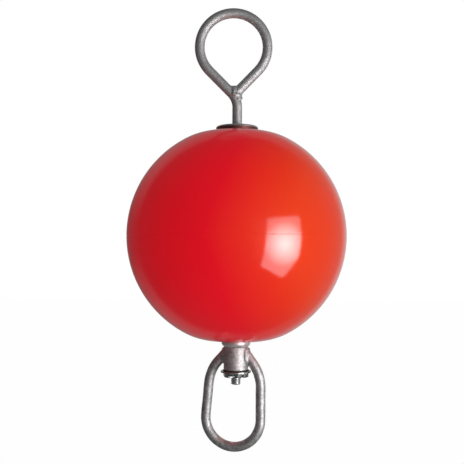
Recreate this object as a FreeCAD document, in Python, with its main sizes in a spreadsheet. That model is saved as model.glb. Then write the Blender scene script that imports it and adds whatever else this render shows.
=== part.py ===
import FreeCAD, Part
import math
import os

import Sketcher

# Mooring buoy: a round moulded float clamped on a galvanised bar. The bar is bent into an eye
# on top, and below the float it carries a sleeve with a welded link that swivels round it.
# Frame: origin at the float's centre on the bar's axis, +Z up the bar to the eye, eye in XZ.

# alias, value in millimetres or degrees, meaning
DIMENSIONS = (
    ("float_radius", 200.0, "sphere of the float"),
    ("pole_depth", 10.0, "each flat seat lies this far inside the full sphere"),
    ("seat_margin", 1.0, "flat seat beyond the top washer's edge"),
    ("float_wall", 6.0, "wall of the moulded float and of its centre tube"),
    ("bore_gap", 1.0, "between the bar and the float's centre tube"),
    ("bar_diameter", 18.0, "round bar of the rod and of the link"),
    ("washer_gap", 0.25, "radial play of the fixed washers and the nut on the bar"),
    ("top_washer_diameter", 77.0, "thick round washer on the float"),
    ("top_washer_thickness", 10.5, ""),
    ("top_washer_round", 3.0, "rounded upper edge of the top washer"),
    ("shank_length", 35.2, "straight bar from the top washer to the neck bend"),
    ("neck_radius", 38.0, "centre-line radius of the bend under the eye"),
    ("eye_radius", 62.2, "centre-line radius of the eye"),
    ("eye_offset", 7.1, "eye centre beside the bar's axis"),
    ("bent_leg_angle", 45.0, "bent leg of the eye, from horizontal"),
    ("welded_leg_angle", 46.0, "welded leg of the eye, from horizontal"),
    ("weld_depth", 4.5, "bar end let into the weld, short of the other bar's centre line"),
    ("weld_size", 3.5, "how far weld metal stands out from the bars"),
    ("weld_margin", 1.2, "weld metal keeps this far inside the sleeve's ends"),
    ("collar_diameter", 53.0, "thick washer under the float"),
    ("collar_thickness", 12.0, ""),
    ("collar_round", 7.0, "rounded lower edge of the collar"),
    ("sleeve_diameter", 45.0, "swivel sleeve"),
    ("sleeve_length", 42.0, ""),
    ("sleeve_play", 0.3, "radial running clearance of the sleeve on the bar"),
    ("end_play", 0.4, "running gap at each end of the sleeve"),
    ("sleeve_chamfer", 1.0, "broken edges of the sleeve"),
    ("link_turn", 17.0, "link plane turned about the bar at rest"),
    ("link_lean", 2.8, "link welded on out of true by this angle"),
    ("apex_rise", 11.7, "where the link's leg lines meet, above the sleeve's top"),
    ("link_leg_angle", 50.5, "leg of the link, from horizontal"),
    ("shoulder_radius", 70.0, "centre-line radius between leg and limb"),
    ("limb_taper", 2.7, "each limb spreads downwards by this angle"),
    ("link_bottom_radius", 52.5, "centre-line radius of the link's bottom"),
    ("link_drop", 131.6, "centre of the link's bottom bend below the sleeve's top"),
    ("thrust_ring_diameter", 48.0, "plastic ring the sleeve runs on"),
    ("thrust_ring_thickness", 1.4, ""),
    ("lower_washer_diameter", 56.0, "steel washer on the nut"),
    ("lower_washer_thickness", 3.0, ""),
    ("nut_flats", 43.0, "across the slotted nut's flats"),
    ("nut_height", 8.2, ""),
    ("nut_bevel", 1.4, "height of the bevel on the nut's lower corners"),
    ("nut_turn", 22.4, "first slot turned from the front, towards -X"),
    ("slot_width", 6.5, ""),
    ("slot_depth", 5.6, ""),
    ("stub_length", 14.0, "bar end below the nut"),
    ("stub_chamfer", 2.0, "chamfer of the bar's lower end"),
    ("pin_wire", 2.4, "wire of the split pin"),
    ("pin_slit", 0.2, "gap between the split pin's two legs"),
    ("pin_play", 0.3, "clearance of the split pin in the bar's cross hole"),
    ("pin_eye_radius", 3.2, "centre-line radius of the split pin's eye"),
    ("pin_eye_reach", 29.0, "outer side of the split pin's eye, from the bar's axis"),
    ("pin_tail_reach", 23.5, "split pin's legs, from the bar's axis to where they open"),
    ("pin_tail_length", 6.0, "opened end of each split pin leg"),
    ("pin_tail_angle", 60.0, "each opened end turns outwards by this angle"),
    ("pin_bend_radius", 3.0, "centre-line radius of the opened legs"),
)

UP = FreeCAD.Vector(0, 0, 1)

doc = FreeCAD.newDocument("MooringBuoy")
sheet = doc.addObject("Spreadsheet::Sheet", "Sizes")


def fill_sheet():
    for row, (alias, value, meaning) in enumerate(DIMENSIONS, start=1):
        sheet.set(f"A{row}", alias)
        sheet.set(f"B{row}", str(value))
        sheet.setAlias(f"B{row}", alias)
        sheet.set(f"C{row}", meaning)
    doc.recompute()


def size(alias):
    return float(sheet.get(alias))


def sine(alias):
    return math.sin(math.radians(size(alias)))


def cosine(alias):
    return math.cos(math.radians(size(alias)))


def tangent(alias):
    return math.tan(math.radians(size(alias)))


# ---- levels along the bar, as expressions and as numbers ----

SEAT = "(Sizes.float_radius - Sizes.pole_depth)"
SLEEVE_TOP = f"(-{SEAT} - Sizes.collar_thickness - Sizes.end_play)"
RING_TOP = f"({SLEEVE_TOP} - Sizes.sleeve_length - Sizes.end_play)"
WASHER_TOP = f"({RING_TOP} - Sizes.thrust_ring_thickness)"
NUT_TOP = f"({WASHER_TOP} - Sizes.lower_washer_thickness)"
NUT_BOTTOM = f"({NUT_TOP} - Sizes.nut_height)"
BAR_BOTTOM = f"({NUT_BOTTOM} - Sizes.stub_length)"

fill_sheet()
seat = size("float_radius") - size("pole_depth")
sleeve_top = -seat - size("collar_thickness") - size("end_play")
nut_bottom = (sleeve_top - size("sleeve_length") - size("end_play") - size("thrust_ring_thickness")
              - size("lower_washer_thickness") - size("nut_height"))
bar_bottom = nut_bottom - size("stub_length")
bar_radius = size("bar_diameter") / 2


# ---- small helpers ----

def new_body(label):
    body = doc.addObject("PartDesign::Body", label)
    body.Label = label
    return body


def origin_feature(body, role):
    for feature in body.Origin.OriginFeatures:
        if feature.Role == role:
            return feature
    raise ValueError(role)


def new_sketch(body, role, name):
    sketch = body.newObject("Sketcher::SketchObject", name)
    sketch.AttachmentSupport = [(origin_feature(body, role), "")]
    sketch.MapMode = "FlatFace"
    return sketch


def drive(sketch, constraint, expression):
    index = sketch.addConstraint(constraint)
    sketch.setExpression(f"Constraints[{index}]", expression)


def add_circle(sketch, radius, expression):
    """A circle round the sketch's origin."""
    index = sketch.addGeometry(Part.Circle(FreeCAD.Vector(), FreeCAD.Vector(0, 0, 1), radius))
    sketch.addConstraint(Sketcher.Constraint("Coincident", index, 3, -1, 1))
    drive(sketch, Sketcher.Constraint("Radius", index, radius), expression)


def pad(body, sketch, length_expression, reversed_pad=False):
    feature = body.newObject("PartDesign::Pad", body.Label + "_pad")
    feature.Profile = sketch
    feature.Reversed = reversed_pad
    feature.setExpression("Length", length_expression)
    doc.recompute()
    return feature


def circle_edges(shape, radius, level):
    """Names of the full circles of this radius round Z at this height."""
    names = []
    for number, edge in enumerate(shape.Edges, start=1):
        curve = edge.Curve
        if not isinstance(curve, Part.Circle) or abs(curve.Radius - radius) > 0.01:
            continue
        if abs(curve.Center.z - level) < 0.01:
            names.append(f"Edge{number}")
    return names


def ring(label, outer, inner, height, level):
    """A flat ring whose upper face is at a level; sizes are expressions."""
    body = new_body(label)
    sketch = new_sketch(body, "XY_Plane", label + "_outline")
    add_circle(sketch, 30, outer)
    add_circle(sketch, 9, inner)
    pad(body, sketch, height, reversed_pad=True)
    body.setExpression("Placement.Base.z", level)
    doc.recompute()
    return body


def dress(body, kind, edges, expression):
    """Round or chamfer the named edges of a body's tip."""
    base = body.Tip
    feature = body.newObject("PartDesign::" + kind, f"{body.Label}_{kind.lower()}")
    feature.Base = (base, edges)
    size_name = "Radius" if kind == "Fillet" else "Size"
    feature.setExpression(size_name, expression)
    doc.recompute()
    return feature


def cylinder(name, radius, height, base, direction):
    """A plain cylinder from a point along a direction; radius and height are expressions."""
    solid = doc.addObject("Part::Cylinder", name)
    solid.setExpression("Radius", radius)
    solid.setExpression("Height", height)
    solid.Placement = FreeCAD.Placement(base, FreeCAD.Rotation(UP, direction))
    return solid


def boolean(kind, label, base, tools):
    """Part::Cut of base by the tools, or Part::MultiFuse or MultiCommon of them all."""
    if kind == "Cut" and len(tools) > 1:
        tools = [boolean("MultiFuse", label + "_tools", tools[0], tools[1:])]
    result = doc.addObject("Part::" + kind, label)
    if kind == "Cut":
        result.Base = base
        result.Tool = tools[0]
    else:
        result.Shapes = [base] + tools
    result.Label = label
    doc.recompute()
    return result


def arc(centre, radius, start, end):
    """The arc from the start angle anticlockwise to the end angle, in degrees."""
    circle = Part.Circle(centre, UP, radius)
    return Part.ArcOfCircle(circle, math.radians(start), math.radians(end))


def polar(centre, radius, angle):
    turn = math.radians(angle)
    return centre + FreeCAD.Vector(radius * math.cos(turn), radius * math.sin(turn))


def line(start, end):
    return Part.LineSegment(start, end)


def all_edges(sketch):
    return [f"Edge{number + 1}" for number in range(len(sketch.Shape.Edges))]


def sweep_bar(body, path, profile):
    doc.recompute()
    pipe = body.newObject("PartDesign::AdditivePipe", body.Label + "_sweep")
    pipe.Profile = profile
    pipe.Spine = (path, all_edges(path))
    doc.recompute()
    return pipe


def mirrored_sweep(body, path, profile):
    """Sweep half of a bar and mirror it across the body's own YZ plane."""
    pipe = sweep_bar(body, path, profile)
    mirror = body.newObject("PartDesign::Mirrored", body.Label + "_mirror")
    mirror.Originals = [pipe]
    mirror.MirrorPlane = (origin_feature(body, "YZ_Plane"), [""])
    body.Tip = mirror
    doc.recompute()


# ---- float ----

def float_loop(sketch, inset, inset_expression, inner_radius, inner_expression):
    """Half of the float's section: two flat seats, the sphere and the bends between them."""
    radius = size("float_radius") - inset
    level = seat - inset
    flat = size("top_washer_diameter") / 2 + size("seat_margin")
    drop = size("float_radius") - seat
    blend = (size("float_radius") + seat) / 2 - flat ** 2 / (2 * drop) - inset
    upper = FreeCAD.Vector(flat, level - blend)
    lower = FreeCAD.Vector(flat, blend - level)
    turn = math.degrees(math.atan2(upper.y, upper.x))
    first = sketch.addGeometry([
        line(FreeCAD.Vector(inner_radius, -level), FreeCAD.Vector(flat, -level)),
        arc(lower, blend, -90, -turn),
        arc(FreeCAD.Vector(), radius, -turn, turn),
        arc(upper, blend, turn, 90),
        line(FreeCAD.Vector(flat, level), FreeCAD.Vector(inner_radius, level)),
        line(FreeCAD.Vector(inner_radius, level), FreeCAD.Vector(inner_radius, -level)),
    ])[0]
    bottom, low_bend, sphere, high_bend, top, bore = range(first, first + 6)
    sketch.addConstraint([
        Sketcher.Constraint("Horizontal", bottom),
        Sketcher.Constraint("Horizontal", top),
        Sketcher.Constraint("Vertical", bore),
        Sketcher.Constraint("Tangent", bottom, 2, low_bend, 1),
        Sketcher.Constraint("Tangent", low_bend, 2, sphere, 1),
        Sketcher.Constraint("Tangent", sphere, 2, high_bend, 1),
        Sketcher.Constraint("Tangent", high_bend, 2, top, 1),
        Sketcher.Constraint("Coincident", top, 2, bore, 1),
        Sketcher.Constraint("Coincident", bore, 2, bottom, 1),
        Sketcher.Constraint("Coincident", sphere, 3, -1, 1),
    ])
    flat_expression = "Sizes.top_washer_diameter/2 + Sizes.seat_margin"
    level_expression = f"{SEAT} - {inset_expression}"
    drive(sketch, Sketcher.Constraint("Radius", sphere, radius),
          f"Sizes.float_radius - {inset_expression}")
    drive(sketch, Sketcher.Constraint("DistanceX", -1, 1, bore, 1, inner_radius), inner_expression)
    drive(sketch, Sketcher.Constraint("DistanceX", -1, 1, high_bend, 3, flat), flat_expression)
    drive(sketch, Sketcher.Constraint("DistanceX", -1, 1, low_bend, 3, flat), flat_expression)
    drive(sketch, Sketcher.Constraint("DistanceY", -1, 1, top, 1, level), level_expression)
    drive(sketch, Sketcher.Constraint("DistanceY", bottom, 1, -1, 1, level), level_expression)


def make_float():
    """Hollow moulded ball with a tube through it for the bar."""
    body = new_body("float_shell")
    section = new_sketch(body, "XZ_Plane", "float_section")
    bore = bar_radius + size("bore_gap")
    wall = size("float_wall")
    bore_expression = "Sizes.bar_diameter/2 + Sizes.bore_gap"
    float_loop(section, 0, "0", bore, bore_expression)
    float_loop(section, wall, "Sizes.float_wall", bore + wall, bore_expression + " + Sizes.float_wall")
    turned = body.newObject("PartDesign::Revolution", "float_revolution")
    turned.Profile = section
    turned.ReferenceAxis = (section, ["V_Axis"])
    doc.recompute()
    return body


# ---- bar with its eye ----

def make_rod():
    """One bar: lower end, shank, neck bend, bent leg and eye, then the welded leg."""
    lean = 90 - size("bent_leg_angle")
    neck = size("neck_radius")
    shank_top = seat + size("top_washer_thickness") + size("shank_length")
    neck_centre = FreeCAD.Vector(-neck, shank_top)
    neck_end = polar(neck_centre, neck, lean)
    corner = shank_top + neck * math.tan(math.radians(lean / 2))
    radius = size("eye_radius")
    left = -size("eye_offset") - radius * sine("bent_leg_angle")
    centre_level = corner - left * tangent("bent_leg_angle") + radius * cosine("bent_leg_angle")
    centre = FreeCAD.Vector(-size("eye_offset"), centre_level)
    leg_end = polar(centre, radius, -90 - size("bent_leg_angle"))

    body = new_body("bent_bar")
    path = new_sketch(body, "XZ_Plane", "bar_path")
    first = path.addGeometry([
        line(FreeCAD.Vector(0, bar_bottom), FreeCAD.Vector(0, shank_top)),
        arc(neck_centre, neck, 0, lean),
        line(neck_end, leg_end),
        arc(centre, radius, size("welded_leg_angle") - 90, 270 - size("bent_leg_angle")),
    ])[0]
    shank, bend, leg, eye = range(first, first + 4)
    path.addConstraint([
        Sketcher.Constraint("PointOnObject", shank, 1, -2),
        Sketcher.Constraint("Vertical", shank),
        Sketcher.Constraint("Tangent", shank, 2, bend, 1),
        Sketcher.Constraint("Tangent", bend, 2, leg, 1),
        Sketcher.Constraint("Tangent", leg, 2, eye, 2),
    ])
    eye_start = polar(centre, radius, size("welded_leg_angle") - 90)
    drive(path, Sketcher.Constraint("DistanceY", shank, 1, -1, 1, -bar_bottom), f"-{BAR_BOTTOM}")
    drive(path, Sketcher.Constraint("DistanceY", -1, 1, shank, 2, shank_top),
          f"{SEAT} + Sizes.top_washer_thickness + Sizes.shank_length")
    drive(path, Sketcher.Constraint("Radius", bend, neck), "Sizes.neck_radius")
    drive(path, Sketcher.Constraint("Angle", leg, math.radians(90 + lean)),
          "180 - Sizes.bent_leg_angle")
    drive(path, Sketcher.Constraint("Radius", eye, radius), "Sizes.eye_radius")
    drive(path, Sketcher.Constraint("DistanceX", eye, 3, -1, 1, -centre.x), "Sizes.eye_offset")
    drive(path, Sketcher.Constraint("DistanceX", eye, 3, eye, 1, eye_start.x - centre.x),
          "Sizes.eye_radius * sin(Sizes.welded_leg_angle)")
    profile = new_sketch(body, "XY_Plane", "bar_section")
    add_circle(profile, bar_radius, "Sizes.bar_diameter/2")
    profile.setExpression("AttachmentOffset.Base.z", BAR_BOTTOM)
    sweep_bar(body, path, profile)
    dress(body, "Chamfer", circle_edges(body.Tip.Shape, bar_radius, bar_bottom),
          "Sizes.stub_chamfer")

    # the welded leg runs from the eye to the bent leg's centre line, less the weld depth
    start = FreeCAD.Vector(eye_start.x, 0, eye_start.y)
    down = FreeCAD.Vector(-cosine("welded_leg_angle"), 0, -sine("welded_leg_angle"))
    other = FreeCAD.Vector(cosine("bent_leg_angle"), 0, -sine("bent_leg_angle"))
    apart = FreeCAD.Vector(0, 0, corner) - start
    length = (apart.x * other.z - apart.z * other.x) / (down.x * other.z - down.z * other.x)
    leg_bar = cylinder("welded_leg", "Sizes.bar_diameter/2", f"{length} - Sizes.weld_depth",
                       start, down)
    ring_bar = boolean("MultiFuse", "bar_with_eye", body, [leg_bar])
    slot_level = nut_bottom + size("slot_depth") / 2
    reach = size("bar_diameter")
    hole = cylinder("pin_hole", "Sizes.pin_wire + Sizes.pin_slit/2 + Sizes.pin_play",
                    "2*Sizes.bar_diameter", pin_point(-reach, slot_level), pin_direction())
    rod = boolean("Cut", "through_rod", ring_bar, [hole])
    junction = start + down * length
    return rod, junction, down, other


def pin_direction():
    """Along the split pin, from its eye to its opened ends."""
    return FreeCAD.Vector(sine("nut_turn"), cosine("nut_turn"), 0)


def pin_point(distance, level):
    return pin_direction() * distance + FreeCAD.Vector(0, 0, level)


def make_weld(label, foot, leg, host, parts):
    """Weld metal round a bar's end: what lies near both the bar and its host, less the parts.

    foot is where the centre lines meet; leg points from there out along the welded bar.
    host is the cylinder, larger than the host by the weld's size, that the weld stays in.
    """
    round_leg = cylinder(label + "_round_leg", "Sizes.bar_diameter/2 + Sizes.weld_size",
                         "Sizes.sleeve_diameter + Sizes.bar_diameter", foot, leg)
    both = boolean("MultiCommon", label + "_mass", round_leg, [host])
    return boolean("Cut", label, both, parts)


def make_eye_weld(rod, junction, down, other):
    start = junction - other * size("bar_diameter")
    host = cylinder("round_bent_leg", "Sizes.bar_diameter/2 + Sizes.weld_size",
                    "2*Sizes.bar_diameter", start, other)
    return make_weld("eye_weld", junction, down * -1, host, [rod])


# ---- washers, collar, sleeve and thrust ring ----

FIXED_BORE = "Sizes.bar_diameter/2 + Sizes.washer_gap"
RUNNING_BORE = "Sizes.bar_diameter/2 + Sizes.sleeve_play"


def make_top_washer():
    body = ring("top_washer", "Sizes.top_washer_diameter/2", FIXED_BORE,
                "Sizes.top_washer_thickness", f"{SEAT} + Sizes.top_washer_thickness")
    rim = circle_edges(body.Tip.Shape, size("top_washer_diameter") / 2, 0)
    dress(body, "Fillet", rim, "Sizes.top_washer_round")
    return body


def make_collar():
    body = ring("lower_collar", "Sizes.collar_diameter/2", FIXED_BORE,
                "Sizes.collar_thickness", f"-{SEAT}")
    rim = circle_edges(body.Tip.Shape, size("collar_diameter") / 2, -size("collar_thickness"))
    dress(body, "Fillet", rim, "Sizes.collar_round")
    return body


def make_sleeve():
    body = ring("swivel_sleeve", "Sizes.sleeve_diameter/2", RUNNING_BORE,
                "Sizes.sleeve_length", SLEEVE_TOP)
    outer = size("sleeve_diameter") / 2
    rims = circle_edges(body.Tip.Shape, outer, 0)
    rims += circle_edges(body.Tip.Shape, outer, -size("sleeve_length"))
    dress(body, "Chamfer", rims, "Sizes.sleeve_chamfer")
    return body


def make_thrust_ring():
    return ring("thrust_ring", "Sizes.thrust_ring_diameter/2", FIXED_BORE,
                "Sizes.thrust_ring_thickness", RING_TOP)


def make_lower_washer():
    return ring("lower_washer", "Sizes.lower_washer_diameter/2", FIXED_BORE,
                "Sizes.lower_washer_thickness", WASHER_TOP)


# ---- swivel link ----

def link_placement():
    """From the link's own frame, at the sleeve's middle, to where it is welded on."""
    turn = FreeCAD.Rotation(UP, -size("link_turn"))
    lean = FreeCAD.Rotation(FreeCAD.Vector(0, 1, 0), size("link_lean"))
    middle = FreeCAD.Vector(0, 0, sleeve_top - size("sleeve_length") / 2)
    return FreeCAD.Placement(middle, turn * lean)


def make_link():
    """A bar bent into a long loop, its two ends cut to the sleeve."""
    taper = size("limb_taper")
    bottom_radius = size("link_bottom_radius")
    shoulder = size("shoulder_radius")
    apex = size("sleeve_length") / 2 + size("apex_rise")
    bend_level = size("sleeve_length") / 2 - size("link_drop")
    bottom_centre = FreeCAD.Vector(0, bend_level)
    limb_start = polar(bottom_centre, bottom_radius, taper)
    inner_end = FreeCAD.Vector(size("sleeve_diameter") / 4, 0)
    inner_end.y = apex - inner_end.x * tangent("link_leg_angle")

    # the corner where limb and leg would meet, and the shoulder that rounds it
    limb = FreeCAD.Vector(-sine("limb_taper"), cosine("limb_taper"))
    leg = FreeCAD.Vector(cosine("link_leg_angle"), -sine("link_leg_angle"))
    apart = FreeCAD.Vector(0, apex) - limb_start
    run = (apart.x * leg.y - apart.y * leg.x) / (limb.x * leg.y - limb.y * leg.x)
    corner = limb_start + limb * run
    turn = 90 - taper - size("link_leg_angle")
    cut_back = shoulder * math.tan(math.radians(turn / 2))
    shoulder_start = corner - limb * cut_back
    shoulder_centre = shoulder_start + FreeCAD.Vector(-limb.y, limb.x) * shoulder
    shoulder_end = corner - leg * cut_back

    body = new_body("link_bar")
    path = new_sketch(body, "XZ_Plane", "link_path")
    first = path.addGeometry([
        arc(bottom_centre, bottom_radius, -90, taper),
        line(limb_start, shoulder_start),
        arc(shoulder_centre, shoulder, taper, taper + turn),
        line(shoulder_end, inner_end),
    ])[0]
    bottom, side, bend, end = range(first, first + 4)
    path.addConstraint([
        Sketcher.Constraint("PointOnObject", bottom, 1, -2),
        Sketcher.Constraint("PointOnObject", bottom, 3, -2),
        Sketcher.Constraint("Tangent", bottom, 2, side, 1),
        Sketcher.Constraint("Tangent", side, 2, bend, 1),
        Sketcher.Constraint("Tangent", bend, 2, end, 1),
    ])
    drive(path, Sketcher.Constraint("Radius", bottom, bottom_radius), "Sizes.link_bottom_radius")
    drive(path, Sketcher.Constraint("DistanceY", bottom, 3, -1, 1, -bend_level),
          "Sizes.link_drop - Sizes.sleeve_length/2")
    drive(path, Sketcher.Constraint("Angle", side, math.radians(90 + taper)),
          "90 + Sizes.limb_taper")
    drive(path, Sketcher.Constraint("Radius", bend, shoulder), "Sizes.shoulder_radius")
    drive(path, Sketcher.Constraint("Angle", end, math.radians(90 + taper + turn)),
          "180 - Sizes.link_leg_angle")
    drive(path, Sketcher.Constraint("DistanceX", -1, 1, end, 2, inner_end.x),
          "Sizes.sleeve_diameter/4")
    drive(path, Sketcher.Constraint("DistanceY", bottom, 3, end, 2, inner_end.y - bend_level),
          "Sizes.link_drop + Sizes.apex_rise - Sizes.sleeve_diameter/4 * tan(Sizes.link_leg_angle)")
    profile = new_sketch(body, "YZ_Plane", "link_section")
    add_circle(profile, bar_radius, "Sizes.bar_diameter/2")
    profile.setExpression("AttachmentOffset.Base.y",
                          "Sizes.sleeve_length/2 - Sizes.link_drop - Sizes.link_bottom_radius")
    mirrored_sweep(body, path, profile)
    body.Placement = link_placement()
    doc.recompute()
    cope = cylinder("cope", "Sizes.sleeve_diameter/2", "3*Sizes.sleeve_length",
                    FreeCAD.Vector(0, 0, sleeve_top - 2 * size("sleeve_length")), UP)
    return boolean("Cut", "swivel_link", body, [cope]), cope


def make_link_weld(label, side, link, cope):
    """Weld round one leg's end; side is 1 for the front leg and -1 for the other."""
    placement = link_placement()
    apex = FreeCAD.Vector(0, 0, size("sleeve_length") / 2 + size("apex_rise"))
    leg = FreeCAD.Vector(side * cosine("link_leg_angle"), 0, -sine("link_leg_angle"))
    foot = FreeCAD.Vector(0, 0, sleeve_top - size("sleeve_length") + size("weld_margin"))
    host = cylinder(label + "_host", "Sizes.sleeve_diameter/2 + Sizes.weld_size",
                    "Sizes.sleeve_length - 2*Sizes.weld_margin", foot, UP)
    return make_weld(label, placement.multVec(apex), placement.Rotation.multVec(leg), host,
                     [link, cope])


# ---- nut and split pin ----

def make_nut():
    """Hexagon nut with six slots across its lower end and bevelled corners there."""
    blank = doc.addObject("Part::Prism", "nut_blank")
    blank.Polygon = 6
    blank.setExpression("Circumradius", "Sizes.nut_flats / sqrt(3)")
    blank.setExpression("Height", "Sizes.nut_height")
    bevel = doc.addObject("Part::Cone", "nut_bevel_cone")
    bevel.setExpression("Radius1", "Sizes.nut_flats / sqrt(3) - 2*Sizes.nut_bevel")
    bevel.setExpression("Radius2", "Sizes.nut_flats / sqrt(3) - 2*Sizes.nut_bevel + 2*Sizes.nut_height")
    bevel.setExpression("Height", "Sizes.nut_height")
    bevelled = boolean("MultiCommon", "nut_bevelled", blank, [bevel])
    half_slot = size("slot_width") / 2
    reach = size("nut_flats")
    slots = []
    for number in range(3):
        slot = doc.addObject("Part::Box", f"slot_{number}")
        slot.setExpression("Length", "2*Sizes.nut_flats")
        slot.setExpression("Width", "Sizes.slot_width")
        slot.setExpression("Height", "Sizes.slot_depth")
        turn = FreeCAD.Rotation(UP, 60 * number + 30)
        slot.Placement = FreeCAD.Placement(turn.multVec(FreeCAD.Vector(-reach, -half_slot)), turn)
        slots.append(slot)
    bore = cylinder("nut_bore", FIXED_BORE, "Sizes.nut_height", FreeCAD.Vector(), UP)
    nut = boolean("Cut", "slotted_nut", bevelled, slots + [bore])
    nut.Placement = FreeCAD.Placement(FreeCAD.Vector(0, 0, nut_bottom),
                                      FreeCAD.Rotation(UP, -size("nut_turn")))
    doc.recompute()
    return nut


def make_pin():
    """Split pin: one wire round an eye, its two legs through the bar and opened behind it."""
    half = (size("pin_wire") + size("pin_slit")) / 2
    eye = size("pin_eye_radius")
    bend = size("pin_bend_radius")
    eye_level = eye + size("pin_wire") / 2 - size("pin_eye_reach")
    rise = math.sqrt((eye + bend) ** 2 - (half + bend) ** 2)
    turn = math.degrees(math.atan2(rise, half + bend))
    eye_centre = FreeCAD.Vector(0, eye_level)
    throat_centre = FreeCAD.Vector(half + bend, eye_level + rise)
    tail_centre = FreeCAD.Vector(half + bend, size("pin_tail_reach"))
    opened = size("pin_tail_angle")
    tail_start = polar(tail_centre, bend, 180 - opened)
    tail_end = polar(tail_start, size("pin_tail_length"), 90 - opened)

    body = new_body("split_pin")
    path = new_sketch(body, "XY_Plane", "pin_path")
    first = path.addGeometry([
        arc(eye_centre, eye, -90, turn),
        arc(throat_centre, bend, 180, 180 + turn),
        line(FreeCAD.Vector(half, throat_centre.y), FreeCAD.Vector(half, tail_centre.y)),
        arc(tail_centre, bend, 180 - opened, 180),
        line(tail_start, tail_end),
    ])[0]
    loop, throat, leg, opening, tail = range(first, first + 5)
    path.addConstraint([
        Sketcher.Constraint("PointOnObject", loop, 1, -2),
        Sketcher.Constraint("PointOnObject", loop, 3, -2),
        Sketcher.Constraint("Tangent", loop, 2, throat, 2),
        Sketcher.Constraint("Tangent", throat, 1, leg, 1),
        Sketcher.Constraint("Vertical", leg),
        Sketcher.Constraint("Tangent", leg, 2, opening, 2),
        Sketcher.Constraint("Tangent", opening, 1, tail, 1),
        Sketcher.Constraint("Equal", throat, opening),
    ])
    drive(path, Sketcher.Constraint("Radius", loop, eye), "Sizes.pin_eye_radius")
    drive(path, Sketcher.Constraint("Radius", throat, bend), "Sizes.pin_bend_radius")
    drive(path, Sketcher.Constraint("DistanceY", loop, 3, -1, 1, -eye_level),
          "Sizes.pin_eye_reach - Sizes.pin_eye_radius - Sizes.pin_wire/2")
    drive(path, Sketcher.Constraint("DistanceX", -1, 1, leg, 1, half),
          "(Sizes.pin_wire + Sizes.pin_slit)/2")
    drive(path, Sketcher.Constraint("DistanceY", -1, 1, leg, 2, tail_centre.y),
          "Sizes.pin_tail_reach")
    drive(path, Sketcher.Constraint("Angle", tail, math.radians(90 - opened)),
          "90 - Sizes.pin_tail_angle")
    drive(path, Sketcher.Constraint("Distance", tail, size("pin_tail_length")),
          "Sizes.pin_tail_length")
    profile = new_sketch(body, "YZ_Plane", "pin_section")
    add_circle(profile, size("pin_wire") / 2, "Sizes.pin_wire/2")
    profile.setExpression("AttachmentOffset.Base.x", "Sizes.pin_wire/2 - Sizes.pin_eye_reach")
    mirrored_sweep(body, path, profile)
    level = nut_bottom + size("slot_depth") / 2
    body.Placement = FreeCAD.Placement(FreeCAD.Vector(0, 0, level),
                                       FreeCAD.Rotation(UP, -size("nut_turn")))
    doc.recompute()
    return body


# ---- build, check and write ----

def build():
    rod, junction, down, other = make_rod()
    sleeve = make_sleeve()
    link, cope = make_link()
    return [
        make_float(),
        rod,
        make_eye_weld(rod, junction, down, other),
        make_top_washer(),
        make_collar(),
        sleeve,
        link,
        make_link_weld("link_weld_front", 1, link, cope),
        make_link_weld("link_weld_back", -1, link, cope),
        make_thrust_ring(),
        make_lower_washer(),
        make_nut(),
        make_pin(),
    ]


def check(parts):
    for item in doc.Objects:
        if "Invalid" in item.State or "Error" in item.State:
            raise RuntimeError(f"{item.Name} failed: {item.State}")
    for item in parts:
        if item.Shape.isNull() or not item.Shape.isValid() or len(item.Shape.Solids) != 1:
            raise RuntimeError(f"{item.Label} is not one valid solid")


def write(parts):
    os.makedirs("parts", exist_ok=True)
    for item in parts:
        item.Shape.exportStep(f"parts/{item.Label}.step")
        print(f"{item.Label}: {item.Shape.Volume / 1000:.1f} cubic centimetres")


parts = build()
check(parts)
write(parts)
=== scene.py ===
import math
import random

import bmesh
import bpy
from mathutils import Matrix, Vector, noise


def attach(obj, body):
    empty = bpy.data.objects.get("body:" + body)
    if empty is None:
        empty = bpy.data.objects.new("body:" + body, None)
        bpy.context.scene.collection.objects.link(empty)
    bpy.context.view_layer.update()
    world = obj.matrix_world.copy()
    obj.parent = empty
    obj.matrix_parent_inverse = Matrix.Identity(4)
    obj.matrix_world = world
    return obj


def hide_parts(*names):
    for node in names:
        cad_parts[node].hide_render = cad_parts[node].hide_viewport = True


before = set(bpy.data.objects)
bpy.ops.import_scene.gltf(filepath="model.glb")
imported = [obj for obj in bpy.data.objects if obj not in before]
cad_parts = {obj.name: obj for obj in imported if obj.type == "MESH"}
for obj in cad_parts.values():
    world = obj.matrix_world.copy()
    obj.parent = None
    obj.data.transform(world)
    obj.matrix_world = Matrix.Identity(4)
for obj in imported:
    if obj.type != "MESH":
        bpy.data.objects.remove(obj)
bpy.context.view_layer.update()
mm = 0.001
up = Vector((0, 0, 1))
print("frame loaded")


# meshes are laid out in millimetres and scaled to metres when a piece is made
def makePiece(name, verts, faces, material, body, nodes=()):
    mesh = bpy.data.meshes.new(name)
    mesh.from_pydata([Vector(v) * mm for v in verts], [], faces)
    mesh.validate()
    return finishPiece(name, mesh, material, body, nodes)


def finishPiece(name, mesh, material, body, nodes=()):
    shaper = bmesh.new()
    shaper.from_mesh(mesh)
    bmesh.ops.recalc_face_normals(shaper, faces=shaper.faces)
    shaper.to_mesh(mesh)
    shaper.free()
    for face in mesh.polygons:
        face.use_smooth = True
    mesh.materials.clear()
    mesh.materials.append(material)
    piece = bpy.data.objects.new(name, mesh)
    bpy.context.scene.collection.objects.link(piece)
    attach(piece, body)
    if nodes:
        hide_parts(*nodes)
    return piece


def ringFaces(first, rings, around, closed=False):
    faces = []
    for ring in range(rings if closed else rings - 1):
        nextRing = (ring + 1) % rings
        for step in range(around):
            a = first + ring * around + step
            b = first + ring * around + (step + 1) % around
            c = first + nextRing * around + (step + 1) % around
            d = first + nextRing * around + step
            faces.append((a, b, c, d))
    return faces


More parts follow.
